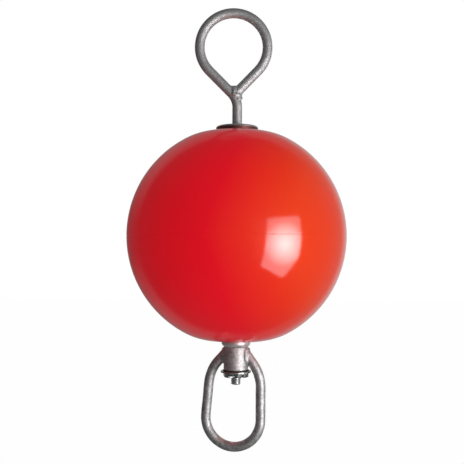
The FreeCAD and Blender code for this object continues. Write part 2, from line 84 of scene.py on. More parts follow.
# turns a closed outline of (radius, level) points round the bar's axis
def latheMesh(outline, around, shift=None):
    verts = []
    for radius, level in outline:
        for step in range(around):
            angle = math.tau * step / around
            point = Vector((radius * math.cos(angle), radius * math.sin(angle), level))
            if shift:
                point += shift(point)
            verts.append(point)
    return verts, ringFaces(0, len(outline), around, closed=True)


def arcPoints(centre, radius, start, end, count):
    points = []
    for step in range(count + 1):
        angle = math.radians(start + (end - start) * step / count)
        points.append((centre[0] + radius * math.cos(angle), centre[1] + radius * math.sin(angle)))
    return points


def straightPoints(start, end, step):
    count = max(1, round(math.dist(start, end) / step))
    return [(start[0] + (end[0] - start[0]) * i / count, start[1] + (end[1] - start[1]) * i / count)
            for i in range(count + 1)]


# joins stretches of points into one line, dropping the doubled ends
def joinPoints(*stretches):
    line = []
    for stretch in stretches:
        for point in stretch:
            if not line or math.dist(line[-1], point) > 0.02:
                line.append(point)
    return line


# sweeps a round section along a flat line; place turns its (across, along) points into space
def sweepMesh(line, place, flatNormal, radius, around, shift=None, endRound=1.5):
    verts = []
    count = len(line)
    lengths = [0.0]
    for index in range(1, count):
        lengths.append(lengths[-1] + math.dist(line[index - 1], line[index]))
    for index, point in enumerate(line):
        before = line[max(0, index - 1)]
        after = line[min(count - 1, index + 1)]
        tangent = (place(after) - place(before)).normalized()
        side = flatNormal.cross(tangent).normalized()
        fromEnd = min(lengths[index], lengths[-1] - lengths[index])
        inset = 0.0
        if fromEnd < endRound:
            inset = endRound - math.sqrt(max(0.0, endRound ** 2 - (endRound - fromEnd) ** 2))
        for step in range(around):
            angle = math.tau * step / around
            away = side * math.cos(angle) + flatNormal * math.sin(angle)
            reach = radius - inset
            if shift:
                reach += shift(place(point), angle)
            verts.append(place(point) + away * reach)
    faces = ringFaces(0, count, around)
    for ring in (0, count - 1):
        centre = Vector()
        for step in range(around):
            centre += verts[ring * around + step] / around
        verts.append(centre)
        for step in range(around):
            a = ring * around + step
            b = ring * around + (step + 1) % around
            faces.append((a, b, len(verts) - 1))
    return verts, faces


def newMaterial(name):
    material = bpy.data.materials.new(name)
    material.use_nodes = True
    tree = material.node_tree
    shader = tree.nodes["Principled BSDF"]
    return material, tree, shader


def addNode(tree, kind, **settings):
    node = tree.nodes.new(kind)
    for key, value in settings.items():
        setattr(node, key, value)
    return node


def noiseNode(tree, place, scale, detail, roughness=0.5, distortion=0.0):
    node = addNode(tree, "ShaderNodeTexNoise")
    node.inputs["Scale"].default_value = scale
    node.inputs["Detail"].default_value = detail
    node.inputs["Roughness"].default_value = roughness
    node.inputs["Distortion"].default_value = distortion
    tree.links.new(place, node.inputs["Vector"])
    return node


def rampNode(tree, source, stops):
    node = addNode(tree, "ShaderNodeValToRGB")
    ramp = node.color_ramp
    while len(ramp.elements) < len(stops):
        ramp.elements.new(0.5)
    for element, (place, colour) in zip(ramp.elements, stops):
        element.position = place
        element.color = (*colour, 1.0)
    tree.links.new(source, node.inputs["Fac"])
    return node


def rangeNode(tree, source, low, high, newLow, newHigh):
    node = addNode(tree, "ShaderNodeMapRange")
    node.inputs["From Min"].default_value = low
    node.inputs["From Max"].default_value = high
    node.inputs["To Min"].default_value = newLow
    node.inputs["To Max"].default_value = newHigh
    tree.links.new(source, node.inputs["Value"])
    return node


def bumpNode(tree, height, distance, strength, normal=None):
    node = addNode(tree, "ShaderNodeBump")
    node.inputs["Distance"].default_value = distance
    node.inputs["Strength"].default_value = strength
    tree.links.new(height, node.inputs["Height"])
    if normal is not None:
        tree.links.new(normal, node.inputs["Normal"])
    return node


def mixLevels(tree, share, low, high):
    mix = addNode(tree, "ShaderNodeMix", data_type="FLOAT")
    for socket, value in (("Factor", share), ("A", low), ("B", high)):
        if isinstance(value, float):
            mix.inputs[socket].default_value = value
        else:
            tree.links.new(value, mix.inputs[socket])
    return mix.outputs["Result"]


# moulded red plastic, with a glossy skin; its colour shift across the ball is painted light and
# shade
redPlastic = {
    "shadedRed": (0.75, 0.0005, 0.010),     # painted shade: crimson for the shaded left side, top and bottom
    "red": (0.755, 0.037, 0.003),         # painted light: orange-red for the lit right side
    "litFrom": -0.06,        # metres to the right of the axis where the painted light begins
    "litTo": 0.08,
    "litByHeight": -0.4,     # how fast it moves outward above and below the middle, so top and bottom get the painted shade
    "cloudScale": 7.0,
    "cloudSpread": 0.10,
    "skinScale": 55.0,
    "skinRelief": 0.0001,
    "waveScale": 22.0,        # slow waves of the moulded wall
    "waveRelief": 0.0006,
    "roughness": 0.4,
    "roughSpread": 0.05,
    "coatRoughness": 0.14,
    "coatIor": 1.38,
}


def makeRedPlastic():
    d = redPlastic
    material, tree, shader = newMaterial("mouldedRedPlastic")
    place = addNode(tree, "ShaderNodeTexCoord").outputs["Object"]
    cloud = noiseNode(tree, place, d["cloudScale"], 3.0)
    split = addNode(tree, "ShaderNodeSeparateXYZ")
    tree.links.new(place, split.inputs[0])
    height = addNode(tree, "ShaderNodeMath", operation="ABSOLUTE")
    tree.links.new(split.outputs["Z"], height.inputs[0])
    outward = addNode(tree, "ShaderNodeMath", operation="MULTIPLY_ADD")
    tree.links.new(height.outputs[0], outward.inputs[0])
    outward.inputs[1].default_value = d["litByHeight"]
    tree.links.new(split.outputs["X"], outward.inputs[2])
    # painted light and shade: the colour turns from the shaded red to the lit red towards the
    # right, and back towards top and bottom
    litShare = rangeNode(tree, outward.outputs[0], d["litFrom"], d["litTo"], 0.0, 1.0)
    uneven = rangeNode(tree, cloud.outputs["Fac"], 0.0, 1.0, -d["cloudSpread"], d["cloudSpread"])
    share = addNode(tree, "ShaderNodeMath", operation="ADD")
    tree.links.new(litShare.outputs["Result"], share.inputs[0])
    tree.links.new(uneven.outputs["Result"], share.inputs[1])
    colour = rampNode(tree, share.outputs[0], [(0.0, d["shadedRed"]), (1.0, d["red"])])
    tree.links.new(colour.outputs["Color"], shader.inputs["Base Color"])
    skin = noiseNode(tree, place, d["skinScale"], 4.0, 0.55)
    rough = rangeNode(tree, skin.outputs["Fac"], 0.3, 0.7, d["roughness"] - d["roughSpread"],
                      d["roughness"] + d["roughSpread"])
    tree.links.new(rough.outputs["Result"], shader.inputs["Roughness"])
    wave = noiseNode(tree, place, d["waveScale"], 2.0, 0.4)
    bump = bumpNode(tree, wave.outputs["Fac"], d["waveRelief"], 0.5)
    fine = bumpNode(tree, skin.outputs["Fac"], d["skinRelief"], 0.35, bump.outputs["Normal"])
    tree.links.new(fine.outputs["Normal"], shader.inputs["Normal"])
    tree.links.new(fine.outputs["Normal"], shader.inputs["Coat Normal"])
    shader.inputs["Coat Weight"].default_value = 1.0
    shader.inputs["Coat Roughness"].default_value = d["coatRoughness"]
    shader.inputs["Coat IOR"].default_value = d["coatIor"]
    shader.inputs["Specular IOR Level"].default_value = 0.05
    return material


# a second colour and roughness, coming in from finish["low"] to finish["high"] up the piece
def blendFinish(tree, place, finish, shader, colour, rough):
    split = addNode(tree, "ShaderNodeSeparateXYZ")
    tree.links.new(place, split.inputs[0])
    share = rangeNode(tree, split.outputs["Z"], finish["low"], finish["high"], 0.0, 1.0)
    mix = addNode(tree, "ShaderNodeMix", data_type="RGBA")
    tree.links.new(share.outputs["Result"], mix.inputs["Factor"])
    tree.links.new(colour, mix.inputs["A"])
    mix.inputs["B"].default_value = (*finish["other"], 1.0)
    tree.links.new(mix.outputs["Result"], shader.inputs["Base Color"])
    level = mixLevels(tree, share.outputs["Result"], rough, finish["otherRoughness"])
    tree.links.new(level, shader.inputs["Roughness"])


# hot-dip zinc: rough metal with cloudy patches and fine crystals
def makeZinc(name, finish):
    material, tree, shader = newMaterial(name)
    place = addNode(tree, "ShaderNodeTexCoord").outputs["Object"]
    broad = noiseNode(tree, place, finish["patches"] * 0.3, 4.0, 0.6, 0.4)
    patch = noiseNode(tree, place, finish["patches"], 5.0, 0.65, 0.2)
    mixed = addNode(tree, "ShaderNodeMath", operation="ADD")
    tree.links.new(broad.outputs["Fac"], mixed.inputs[0])
    tree.links.new(patch.outputs["Fac"], mixed.inputs[1])
    half = addNode(tree, "ShaderNodeMath", operation="MULTIPLY")
    half.inputs[1].default_value = 0.5
    tree.links.new(mixed.outputs[0], half.inputs[0])
    colour = rampNode(tree, half.outputs[0], [(0.36, finish["dark"]), (0.62, finish["light"])])
    crystals = addNode(tree, "ShaderNodeTexVoronoi", feature="F1")
    crystals.inputs["Scale"].default_value = finish["crystals"]
    tree.links.new(place, crystals.inputs["Vector"])
    shade = rangeNode(tree, crystals.outputs["Color"], 0.0, 1.0, 1 - finish["sparkle"],
                      1 + finish["sparkle"] * 0.4)
    tinted = addNode(tree, "ShaderNodeMix", data_type="RGBA", blend_type="MULTIPLY")
    tinted.inputs["Factor"].default_value = 1.0
    tree.links.new(colour.outputs["Color"], tinted.inputs["A"])
    tree.links.new(shade.outputs["Result"], tinted.inputs["B"])
    rough = rangeNode(tree, patch.outputs["Fac"], 0.3, 0.7, finish["roughness"] + 0.07,
                      finish["roughness"] - 0.07)
    if "other" in finish:
        blendFinish(tree, place, finish, shader, tinted.outputs["Result"], rough.outputs["Result"])
    else:
        tree.links.new(tinted.outputs["Result"], shader.inputs["Base Color"])
        tree.links.new(rough.outputs["Result"], shader.inputs["Roughness"])
    bump = bumpNode(tree, patch.outputs["Fac"], finish["relief"], 0.6)
    tree.links.new(bump.outputs["Normal"], shader.inputs["Normal"])
    shader.inputs["Metallic"].default_value = finish.get("metallic", 1.0)
    return material


zincFinishes = {
    "galvanisedBar": {
        "dark": (0.60, 0.59, 0.595), "light": (0.76, 0.75, 0.755), "patches": 120.0,
        "crystals": 500.0, "sparkle": 0.04, "roughness": 0.62, "relief": 0.00002,
        "low": -0.2465, "high": -0.2475, "other": (0.85, 0.84, 0.84), "otherRoughness": 0.30},
    "galvanisedLink": {
        "dark": (0.46, 0.45, 0.455), "light": (0.92, 0.905, 0.91), "patches": 260.0,
        "crystals": 420.0, "sparkle": 0.25, "roughness": 0.55, "relief": 0.0004},
    # the slight pink tint in both colours is a painted reflection of the red float
    "galvanisedSleeve": {
        "dark": (0.62, 0.57, 0.58), "light": (0.97, 0.93, 0.94), "patches": 210.0,
        "crystals": 500.0, "sparkle": 0.20, "roughness": 0.59, "relief": 0.0005},
    # painted reflection of the red float: a pink tint throughout, and a strong pink band at the top
    # next to the float
    "galvanisedCollar": {
        "dark": (0.86, 0.78, 0.78), "light": (0.96, 0.92, 0.92), "patches": 170.0,
        "crystals": 500.0, "sparkle": 0.10, "roughness": 0.42, "relief": 0.0002,
        "low": -0.198, "high": -0.191, "other": (0.95, 0.55, 0.55), "otherRoughness": 0.42,
        "metallic": 0.9},
    # painted reflection: the maroon stands in for the red float seen in the washer; the lighter
    # band at the top edge is a painted highlight
    "reflectedRedWasher": {
        "dark": (0.24, 0.08, 0.07), "light": (0.36, 0.17, 0.155), "patches": 110.0,
        "crystals": 500.0, "sparkle": 0.15, "roughness": 0.40, "relief": 0.0002,
        "low": 0.1965, "high": 0.1985, "other": (0.85, 0.82, 0.80), "otherRoughness": 0.36},
    "galvanisedWeld": {
        "dark": (0.52, 0.51, 0.515), "light": (0.84, 0.83, 0.835), "patches": 300.0,
        "crystals": 500.0, "sparkle": 0.15, "roughness": 0.60, "relief": 0.0002},
    "galvanisedNut": {
        "dark": (0.18, 0.175, 0.175), "light": (1.0, 0.99, 0.99), "patches": 330.0,
        "crystals": 600.0, "sparkle": 0.15, "roughness": 0.16, "relief": 0.0005},
    "brightPinWire": {
        "dark": (0.85, 0.85, 0.85), "light": (0.95, 0.95, 0.95), "patches": 300.0,
        "crystals": 600.0, "sparkle": 0.1, "roughness": 0.45, "relief": 0.0001,
        "metallic": 0.4},
}

blackPlastic = {"colour": (0.012, 0.012, 0.013), "roughness": 0.5, "grainScale": 900.0}


def makeBlackPlastic():
    material, tree, shader = newMaterial("blackAcetal")
    place = addNode(tree, "ShaderNodeTexCoord").outputs["Object"]
    grain = noiseNode(tree, place, blackPlastic["grainScale"], 3.0)
    shade = [part * 1.8 for part in blackPlastic["colour"]]
    colour = rampNode(tree, grain.outputs["Fac"], [(0.4, blackPlastic["colour"]), (0.7, shade)])
    tree.links.new(colour.outputs["Color"], shader.inputs["Base Color"])
    bump = bumpNode(tree, grain.outputs["Fac"], 0.0001, 0.4)
    tree.links.new(bump.outputs["Normal"], shader.inputs["Normal"])
    shader.inputs["Roughness"].default_value = blackPlastic["roughness"]
    return material


red = makeRedPlastic()
black = makeBlackPlastic()
zinc = {name: makeZinc(name, finish) for name, finish in zincFinishes.items()}
print("materials ready")


# how far the dipped zinc stands out at a point, in millimetres
def zincLumps(point, amount, scale=0.09, fine=0.4):
    return amount * (noise.noise(point * scale) + 0.45 * noise.noise(point * fine))


floatBall = {
    "radius": 200.0,
    "seatLevel": 190.0,
    "seatRadius": 39.5,
    "boreRadius": 10.0,
    "partingDepth": 0.2,     # groove where the two mould halves meet
    "partingWidth": 0.6,
    "around": 256,
}


def makeFloat():
    d = floatBall
    drop = d["radius"] - d["seatLevel"]
    blend = (d["radius"] + d["seatLevel"]) / 2 - d["seatRadius"] ** 2 / (2 * drop)
    centre = (d["seatRadius"], d["seatLevel"] - blend)
    turn = math.degrees(math.atan2(centre[1], centre[0]))
    fineAngle = 1.2
    sphere = arcPoints((0, 0), d["radius"], turn, fineAngle, 110)
    seam = arcPoints((0, 0), d["radius"], fineAngle, -fineAngle, 48)
    half = joinPoints(straightPoints((d["boreRadius"], d["seatLevel"]),
                                     (d["seatRadius"], d["seatLevel"]), 4.0),
                      arcPoints(centre, blend, 90, turn, 24), sphere)
    below = [(radius, -level) for radius, level in reversed(half)]
    bore = straightPoints((d["boreRadius"], -d["seatLevel"]), (d["boreRadius"], d["seatLevel"]), 20)
    outline = joinPoints(half, seam, below, bore)[:-1]
    grooved = []
    for radius, level in outline:
        if radius > d["radius"] * 0.9:
            radius -= d["partingDepth"] * math.exp(-(level / d["partingWidth"]) ** 2)
        grooved.append((radius, level))
    verts, faces = latheMesh(grooved, d["around"])
    return makePiece("floatBall", verts, faces, red, "buoy", ["float_shell"])


makeFloat()
print("float made")


throughBar = {
    "radius": 9.0,
    "bottom": -271.4,
    "threadTop": -246.0,
    "threadPitch": 2.5,
    "threadDepth": 1.1,
    "hiddenTop": 190,        # inside the float the bar needs few rings
    "shankTop": 235.7,
    "neckRadius": 38.0,
    "eyeRadius": 62.2,
    "eyeOffset": 7.1,        # eye's centre beside the bar's axis
    "bentAngle": 45.0,       # the two legs' angles, from horizontal
    "weldedAngle": 46.0,
    "weldDepth": 4.5,        # welded leg stops this short of the other's centre line
    "lumps": 0.05,
}


def inFrontPlane(point):
    return Vector((point[0], 0, point[1]))


# centre of the eye and the points where its legs begin, end and meet
def eyeLayout():
    d = throughBar
    bent, welded = math.radians(d["bentAngle"]), math.radians(d["weldedAngle"])
    corner = d["shankTop"] + d["neckRadius"] * math.tan((math.pi / 2 - bent) / 2)
    left = -d["eyeOffset"] - d["eyeRadius"] * math.sin(bent)
    centre = Vector((-d["eyeOffset"],
                     corner - left * math.tan(bent) + d["eyeRadius"] * math.cos(bent)))
    bentEnd = centre - Vector((math.sin(bent), math.cos(bent))) * d["eyeRadius"]
    weldedStart = centre + Vector((math.sin(welded), -math.cos(welded))) * d["eyeRadius"]
    down = Vector((-math.cos(welded), -math.sin(welded)))
    host = Vector((math.cos(bent), -math.sin(bent)))
    apart = Vector((0, corner)) - weldedStart
    length = (apart.x * host.y - apart.y * host.x) / (down.x * host.y - down.y * host.x)
    junction = weldedStart + down * length
    return centre, bentEnd, weldedStart, junction, down, host


def makeBar():
    d = throughBar
    centre, bentEnd, weldedStart, junction, down, host = eyeLayout()
    neckCentre = (-d["neckRadius"], d["shankTop"])
    neckTurn = 90 - d["bentAngle"]
    neckEnd = arcPoints(neckCentre, d["neckRadius"], neckTurn, 0, 1)[0]
    legEnd = junction - down * d["weldDepth"]
    line = joinPoints(
        straightPoints((0, d["bottom"]), (0, d["threadTop"]), 0.3),
        straightPoints((0, d["threadTop"]), (0, d["hiddenTop"]), 8.0),
        straightPoints((0, d["hiddenTop"]), (0, d["shankTop"]), 1.5),
        arcPoints(neckCentre, d["neckRadius"], 0, neckTurn, 24),
        straightPoints(neckEnd, bentEnd, 1.5),
        arcPoints(centre, d["eyeRadius"], 270 - d["bentAngle"], d["weldedAngle"] - 90, 190),
        straightPoints(weldedStart, legEnd, 1.5))

    def shift(point, angle):
        if point.z < d["threadTop"] and abs(point.x) < 1:
            turns = (point.z - d["bottom"]) / d["threadPitch"] - angle / math.tau
            tooth = abs((turns % 1.0) * 2 - 1)
            fade = min(1.0, (d["threadTop"] - point.z) / 3)
            return -d["threadDepth"] * tooth * fade
        across = Vector((math.cos(angle), math.sin(angle), 0)) * d["radius"]
        return zincLumps(point + across, d["lumps"], 0.06, 0.14) - d["lumps"] * 0.4

    verts, faces = sweepMesh(line, inFrontPlane, Vector((0, -1, 0)), d["radius"], 56, shift)
    return makePiece("throughBar", verts, faces, zinc["galvanisedBar"], "buoy",
                     ["through_rod"])


makeBar()
print("bar made")


def turnedRing(name, inner, outer, top, bottom, topRound, bottomRound, material, body, slot, node,
               lumps=0.08, around=160, step=2.0):
    edge = 0.3                     # inner edges are only just broken
    outline = joinPoints(
        arcPoints((inner + edge, top - edge), edge, 180, 90, 3),
        straightPoints((inner + edge, top), (outer - topRound, top), step),
        arcPoints((outer - topRound, top - topRound), topRound, 90, 0, 10),
        straightPoints((outer, top - topRound), (outer, bottom + bottomRound), step),
        arcPoints((outer - bottomRound, bottom + bottomRound), bottomRound, 0, -90, 10),
        straightPoints((outer - bottomRound, bottom), (inner + edge, bottom), step),
        arcPoints((inner + edge, bottom + edge), edge, 270, 180, 3),
        straightPoints((inner, bottom + edge), (inner, top - edge), step * 3))[:-1]

    def shift(point):
        flat = Vector((point.x, point.y, 0))
        away = flat.normalized() if flat.length > inner + 1 else Vector()
        return away * (zincLumps(point, lumps) - lumps * 0.5)

    verts, faces = latheMesh(outline, around, shift)
    return makePiece(name, verts, faces, material, body, [node])


# inner and outer radius, top, bottom, rounding of the upper and of the lower rim
fittings = {
    "topWasher": (9.25, 38.5, 200.5, 190.0, 3.0, 0.8),
    "collar": (9.25, 26.5, -190.0, -202.0, 1.2, 7.0),
    "sleeve": (9.3, 22.5, -202.4, -244.4, 0.8, 1.4),
    "thrustRing": (9.25, 24.0, -244.8, -246.2, 0.4, 0.4),
    "lowerWasher": (9.25, 28.0, -246.2, -249.2, 0.7, 0.7),
}

# the top washer's maroon is a painted reflection of the float, with a painted highlight along its
# top edge
turnedRing("topWasher", *fittings["topWasher"], zinc["reflectedRedWasher"], "buoy",
           "galvanised_fittings", "top_washer")
turnedRing("lowerCollar", *fittings["collar"], zinc["galvanisedCollar"], "buoy",
           "galvanised_fittings", "lower_collar")
turnedRing("swivelSleeve", *fittings["sleeve"], zinc["galvanisedSleeve"], "swivel",
           "galvanised_fittings", "swivel_sleeve", step=1.5)
turnedRing("thrustRing", *fittings["thrustRing"], black, "buoy", "ring_plastic",
           "thrust_ring", lumps=0.0, step=0.7)
turnedRing("lowerWasher", *fittings["lowerWasher"], zinc["galvanisedNut"], "buoy",
           "galvanised_fittings", "lower_washer", step=1.0)
print("washers and sleeve made")


link = {
    "radius": 9.0,
    "middle": -223.4,         # level of the sleeve's middle
    "turn": -17.0,
    "lean": 2.8,
    "bottomRadius": 52.5,
    "bottomLevel": -110.6,
    "taper": 2.7,
    "apex": 32.7,
    "legAngle": 50.5,
    "shoulder": 70.0,
    "legInside": 16.0,        # the leg's end stops this far from the sleeve's axis
    "lumps": 0.22,
}

linkTurn = (Matrix.Rotation(math.radians(link["turn"]), 4, "Z")
            @ Matrix.Rotation(math.radians(link["lean"]), 4, "Y"))


def inLinkPlane(point):
    return linkTurn @ Vector((point[0], 0, point[1])) + up * link["middle"]


def linkHalf():
    d = link
    taper, lean = math.radians(d["taper"]), math.radians(d["legAngle"])
    limb = Vector((-math.sin(taper), math.cos(taper)))
    leg = Vector((math.cos(lean), -math.sin(lean)))
    start = Vector((d["bottomRadius"] * math.cos(taper),
                    d["bottomLevel"] + d["bottomRadius"] * math.sin(taper)))
    apart = Vector((0, d["apex"])) - start
    run = (apart.x * leg.y - apart.y * leg.x) / (limb.x * leg.y - limb.y * leg.x)
    corner = start + limb * run
    turn = 90 - d["taper"] - d["legAngle"]
    back = d["shoulder"] * math.tan(math.radians(turn / 2))
    bendStart = corner - limb * back
    centre = bendStart + Vector((-limb.y, limb.x)) * d["shoulder"]
    bendEnd = corner - leg * back
    inner = Vector((d["legInside"], d["apex"] - d["legInside"] * math.tan(lean)))
    return joinPoints(arcPoints((0, d["bottomLevel"]), d["bottomRadius"], -90, d["taper"], 60),
                      straightPoints(tuple(start), tuple(bendStart), 1.5),
                      arcPoints(tuple(centre), d["shoulder"], d["taper"], d["taper"] + turn, 30),
                      straightPoints(tuple(bendEnd), tuple(inner), 1.5))


def makeLink():
    half = linkHalf()
    line = [(-x, y) for x, y in reversed(half)] + half[1:]

    def shift(point, angle):
        across = Vector((math.cos(angle), math.sin(angle), 0)) * link["radius"]
        return zincLumps(point + across, link["lumps"], 0.08, 0.22) - link["lumps"] * 0.4

    flat = linkTurn.to_3x3() @ Vector((0, -1, 0))
    verts, faces = sweepMesh(line, inLinkPlane, flat, link["radius"], 56, shift)
    return makePiece("swivelLink", verts, faces, zinc["galvanisedLink"], "swivel",
                     ["swivel_link"])


makeLink()
print("link made")


weldBeads = {
    "ball": 3.9,
    "ripple": 0.5,
    "pitch": 1.5,
    "voxel": 0.6,
    "flow": 75,
    "lumps": 0.13,
    "seamPoints": 400,
    "crotchBall": 5.0,        # fills the sharp corner between the eye's two legs
    "crotchSide": 3.2,
    "crotchRise": 0.6,
    "crotchSpread": 3.4,
    "stubLength": 19.0,       # bits of both bars that the weld flows into
    "stubProud": 0.1,
    "legFrom": 30.0,          # the same on a leg of the link, from the sleeve's axis
    "legTo": 50.0,
    "linkLow": -243.2,        # the link's welds stay between these levels
    "linkHigh": -203.2,
    "slabInner": 19.0,        # slab of the sleeve's wall that its welds flow into
    "slabOuter": 22.2,
    "slabLow": -243.0,
    "slabHigh": -203.6,
    "slabSpread": 55.0,
    "slabSteps": 24,
}


# where the skin of a bar from foot along leg meets a round host on the line through hostPoint
def weldSeam(foot, leg, radius, hostPoint, host, hostRadius, count):
    side = leg.orthogonal().normalized()
    over = leg.cross(side).normalized()
    seam = []
    for step in range(count):
        angle = math.tau * step / count
        away = side * math.cos(angle) + over * math.sin(angle)
        start = foot + away * radius - hostPoint
        start -= host * start.dot(host)
        run = leg - host * leg.dot(host)
        a, b = run.dot(run), 2 * start.dot(run)
        c = start.dot(start) - hostRadius ** 2
        root = max(0.0, b * b - 4 * a * c)
        seam.append((foot + away * radius + leg * (-b + math.sqrt(root)) / (2 * a), away))
    return seam


# one lump of weld metal from balls and stubs of bar, flowed together
def flowTogether(name, balls, stubs, body, nodes, slab=None):
    d = weldBeads
    shaper = bmesh.new()
    for centre, radius in balls:
        bmesh.ops.create_icosphere(shaper, subdivisions=2, radius=radius * mm,
                                   matrix=Matrix.Translation(centre * mm))
    for start, end, radius in stubs:
        turn = (end - start).to_track_quat("Z", "Y").to_matrix().to_4x4()
        place = Matrix.Translation((start + end) / 2 * mm) @ turn
        bmesh.ops.create_cone(shaper, cap_ends=True, segments=48, radius1=radius * mm,
                              radius2=radius * mm, depth=(end - start).length * mm, matrix=place)
    if slab:
        corners = [shaper.verts.new(point * mm) for point in slab[0]]
        for face in slab[1]:
            shaper.faces.new([corners[index] for index in face])
    mesh = bpy.data.meshes.new(name + "Parts")
    shaper.to_mesh(mesh)
    shaper.free()
    lump = bpy.data.objects.new(name + "Parts", mesh)
    bpy.context.scene.collection.objects.link(lump)
    remesh = lump.modifiers.new("join", "REMESH")
    remesh.mode = "VOXEL"
    remesh.voxel_size = d["voxel"] * mm
    smooth = lump.modifiers.new("flow", "SMOOTH")
    smooth.factor = 0.5
    smooth.iterations = d["flow"]
    shape = bpy.data.meshes.new_from_object(
        lump.evaluated_get(bpy.context.evaluated_depsgraph_get()))
    bpy.data.objects.remove(lump)
    bpy.data.meshes.remove(mesh)
    shape.name = name
    normals = [vert.normal.copy() for vert in shape.vertices]
    for vert, normal in zip(shape.vertices, normals):
        vert.co += normal * zincLumps(vert.co / mm, d["lumps"], 0.25, 0.7) * mm
    return finishPiece(name, shape, zinc["galvanisedWeld"], body, nodes)


# balls along a seam; sized gives each one's share of the full size from its place
def seamBalls(seam, seed, sized, low=-1e9, high=1e9):
    d = weldBeads
    rolls = random.Random(seed)
    balls = []
    carried = 0.0
    for index, (point, away) in enumerate(seam):
        carried += (seam[(index + 1) % len(seam)][0] - point).length
        if carried < d["pitch"]:
            continue
        carried = 0.0
        radius = d["ball"] * sized(point, away) + d["ripple"] * rolls.uniform(-1, 1)
        centre = point.copy()
        centre.z = min(high - radius, max(low + radius, centre.z))
        balls.append((centre, radius))
    return balls


# a curved slab just under the sleeve's skin, round the heading given in degrees
def sleeveSlab(heading):
    d = weldBeads
    steps = d["slabSteps"]
    verts = []
    for level in (d["slabLow"], d["slabHigh"]):
        for radius in (d["slabInner"], d["slabOuter"]):
            for step in range(steps + 1):
                angle = math.radians(heading + d["slabSpread"] * (2 * step / steps - 1))
                verts.append(Vector((radius * math.cos(angle), radius * math.sin(angle), level)))
    row = steps + 1
    faces = []
    for step in range(steps):
        for a, b in ((0, 1), (1, 3), (3, 2), (2, 0)):
            faces.append((a * row + step, a * row + step + 1, b * row + step + 1, b * row + step))
    faces += [(0, row, 3 * row, 2 * row),
              (steps, 2 * row + steps, 3 * row + steps, row + steps)]
    return verts, faces


def makeLinkWelds():
    d = weldBeads
    sleeveRadius = fittings["sleeve"][1]
    apex = linkTurn @ Vector((0, 0, link["apex"])) + up * link["middle"]
    lean = math.radians(link["legAngle"])

    def sized(point, away):
        return 1.12 - 0.45 * max(0.0, away.z) ** 2

    for name, side, node in (("linkWeldFront", 1, "link_weld_front"),
                             ("linkWeldBack", -1, "link_weld_back")):
        leg = linkTurn.to_3x3() @ Vector((side * math.cos(lean), 0, -math.sin(lean)))
        seam = weldSeam(apex, leg, link["radius"], Vector(), up, sleeveRadius, d["seamPoints"])
        balls = seamBalls(seam, 11 + side, sized, d["linkLow"], d["linkHigh"])
        stub = (apex + leg * d["legFrom"], apex + leg * d["legTo"],
                link["radius"] + d["stubProud"])
        heading = math.degrees(math.atan2(leg.y, leg.x))
        flowTogether(name, balls, [stub], "swivel", [node], sleeveSlab(heading))


def makeEyeWeld():
    d = weldBeads
    junction, down, host = [inFrontPlane(point) for point in eyeLayout()[3:]]
    radius = throughBar["radius"]
    seam = weldSeam(junction, -down, radius, junction, host, radius, d["seamPoints"])
    crotch = (-down - host).normalized()

    def sized(point, away):
        return 0.72 + 0.3 * max(0.0, (point - junction).normalized().dot(crotch))

    balls = seamBalls(seam, 5, sized)
    corner = junction + crotch * (radius * math.sqrt(2) + d["crotchRise"])
    across = crotch.cross(Vector((0, 1, 0)))
    for out in (-d["crotchSpread"], 0.0, d["crotchSpread"]):
        for side in (-1, 0, 1):
            shiftBy = Vector((0, out, 0)) + across * side * d["crotchSide"]
            balls.append((corner + shiftBy, d["crotchBall"] - 0.12 * abs(out)))
    proud = radius + d["stubProud"]
    stubs = [(junction - host * d["stubLength"], junction + host * d["stubLength"] * 0.8, proud),
             (junction, junction - down * d["stubLength"], proud)]
    flowTogether("eyeWeld", balls, stubs, "buoy", ["eye_weld"])


makeLinkWelds()
makeEyeWeld()
print("welds made")


nut = {"edge": 0.45, "edgeSteps": 2, "creaseAngle": 0.6}


def makeNut():
    shaper = bmesh.new()
    shaper.from_mesh(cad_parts["slotted_nut"].data)
    bmesh.ops.remove_doubles(shaper, verts=shaper.verts, dist=0.00001)
    bmesh.ops.dissolve_limit(shaper, angle_limit=0.03, verts=shaper.verts, edges=shaper.edges)
    sharp = [edge for edge in shaper.edges
             if len(edge.link_faces) == 2 and edge.calc_face_angle() > nut["creaseAngle"]]
    bmesh.ops.bevel(shaper, geom=sharp, offset=nut["edge"] * mm, segments=nut["edgeSteps"],
                    profile=0.6, affect="EDGES", clamp_overlap=True)
    mesh = bpy.data.meshes.new("slottedNut")
    shaper.to_mesh(mesh)
    shaper.free()
    piece = finishPiece("slottedNut", mesh, zinc["galvanisedNut"], "buoy",
                        ["slotted_nut"])
    piece.modifiers.new("flats", "WEIGHTED_NORMAL")
    return piece


splitPin = {
    "wire": 1.2,              # radius of the wire
    "slit": 0.1,
    "eyeRadius": 3.2,
    "eyeReach": 29.0,
    "bend": 3.0,
    "tailReach": 23.5,
    "tailLength": 6.0,
    "tailAngle": 60.0,
    "turn": -22.4,
    "level": -254.6,
}


